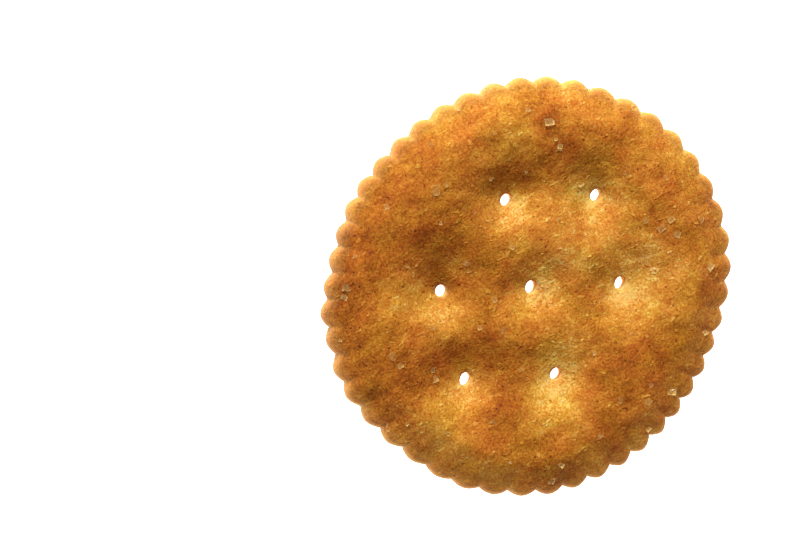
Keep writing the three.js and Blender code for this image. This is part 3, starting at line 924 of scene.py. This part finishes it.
# %% [markdown]
# ## Floor and light
#
# The cracker lies on a plain white floor that glows, so it stays white right up to the cracker and shows
# white through the pin holes. A large soft lamp to one side rakes over the quilted top, and the sky is a
# weak even fill.

# %% Floor
FLOOR_HALF = 3.0  # m
FLOOR_WHITE = "#f2f2f2"
FLOOR_GLOW = 2.0


def white_floor():
    """Plain matt white with a glow of its own, so bright that the eye sees no shadow on it."""
    material = new_material("white_floor")
    shader = add_node(
        material,
        "ShaderNodeBsdfPrincipled",
        Base_Color=linear(FLOOR_WHITE),
        Roughness=0.9,
        Emission_Color=(1.0, 1.0, 1.0, 1.0),
        Emission_Strength=FLOOR_GLOW,
    )
    add_node(material, "ShaderNodeOutputMaterial", Surface=shader.outputs["BSDF"])
    return material


floor_corners = np.array([(-1, -1, 0), (1, -1, 0), (1, 1, 0), (-1, 1, 0)]) * FLOOR_HALF / MM
floor = new_piece("floor", floor_corners, [np.array([[0, 1, 2, 3]])])
floor.data.materials.append(white_floor())
floor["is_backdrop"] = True

# %% [markdown]
# ## Camera
#
# The photograph looks almost straight down, about nine degrees off the vertical, and the cracker sits
# right of the middle with its long axis leaning. The camera is built from that: the picture's right and
# up directions in the cracker's own frame, and a distance that gives one pixel its real width.

# %% Directions of the picture, camera and lamps
PICTURE_WIDTH, PICTURE_HEIGHT = 800, 533
PIXEL = 0.1122 * MM
CENTRE_PIXEL = (528.4, 286.3)
LONG_AXIS_LEAN = math.radians(54.5)  # of the long axis above the picture's right
LEAN_FROM_VERTICAL = math.radians(9)
LEAN_TOWARDS = math.radians(110.8)  # in the cracker's frame
LENS, SENSOR = 150.0, 36.0  # mm
CLIP_NEAR, CLIP_FAR = 0.01, 20  # m
AIM_HEIGHT = 1.6 * MM  # of the point that shows at the centre pixel


def direction(azimuth, elevation):
    """A unit vector at that azimuth from +X and that height above the floor."""
    level = math.cos(elevation)
    return Vector((math.cos(azimuth) * level, math.sin(azimuth) * level, math.sin(elevation)))


back = direction(LEAN_TOWARDS, math.pi / 2 - LEAN_FROM_VERTICAL)
picture_right = direction(-LONG_AXIS_LEAN, 0)
picture_right = (picture_right - picture_right.dot(back) * back).normalized()
picture_up = back.cross(picture_right)
distance = PICTURE_WIDTH * PIXEL * LENS / SENSOR
cracker_centre = Vector((0, 0, AIM_HEIGHT)) - Vector(middle * MM)
off_right = (CENTRE_PIXEL[0] - PICTURE_WIDTH / 2) * PIXEL
off_up = (PICTURE_HEIGHT / 2 - CENTRE_PIXEL[1]) * PIXEL
aim = cracker_centre - off_right * picture_right - off_up * picture_up

camera_data = bpy.data.cameras.new("camera")
camera_data.lens, camera_data.sensor_width = LENS, SENSOR
camera_data.clip_start, camera_data.clip_end = CLIP_NEAR, CLIP_FAR
camera = bpy.data.objects.new("camera", camera_data)
bpy.context.scene.collection.objects.link(camera)
turn = Matrix((picture_right, picture_up, back)).transposed()
camera.matrix_world = Matrix.Translation(aim + distance * back) @ turn.to_4x4()
bpy.context.scene.camera = camera
print("the camera stands", round(distance / MM), "mm away")

# %% Lamps and sky
KEY_ELEVATION = math.radians(36)
KEY_DISTANCE, KEY_SIZE, KEY_POWER = 0.8, 0.4, 11.2  # m, m and W
KEY_COLOUR = (0.95, 1.0, 0.95)
SKY_LIGHT = 0.19
SKY_COLOUR = (1.0, 0.8, 0.64, 1.0)  # warm, as light that has soaked through baked dough


def soft_lamp(name, toward, size, power, colour):
    """A square area lamp that looks at the cracker from that direction."""
    data = bpy.data.lights.new(name, "AREA")
    data.size, data.energy, data.color = size, power, colour
    lamp = bpy.data.objects.new(name, data)
    bpy.context.scene.collection.objects.link(lamp)
    lamp.location = toward * KEY_DISTANCE
    lamp.rotation_euler = toward.to_track_quat("Z", "Y").to_euler()


soft_lamp("key_lamp", direction(LIGHT_FROM, KEY_ELEVATION), KEY_SIZE, KEY_POWER, KEY_COLOUR)
world = bpy.data.worlds.new("studio")
bpy.context.scene.world = world
world.use_nodes = True
world.node_tree.nodes["Background"].inputs["Color"].default_value = SKY_COLOUR
world.node_tree.nodes["Background"].inputs["Strength"].default_value = SKY_LIGHT
bpy.context.scene.view_settings.view_transform = "Standard"

# %% [markdown]
# ## Sizes, and the end
#
# The dressed cracker must fill the same box as the solid, so both boxes are printed side by side.

# %% Printing the sizes
look_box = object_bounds()
for label, (low, high) in (("solid", cad_box), ("look", look_box)):
    print(label, [round(side / MM, 2) for side in high - low], "mm")
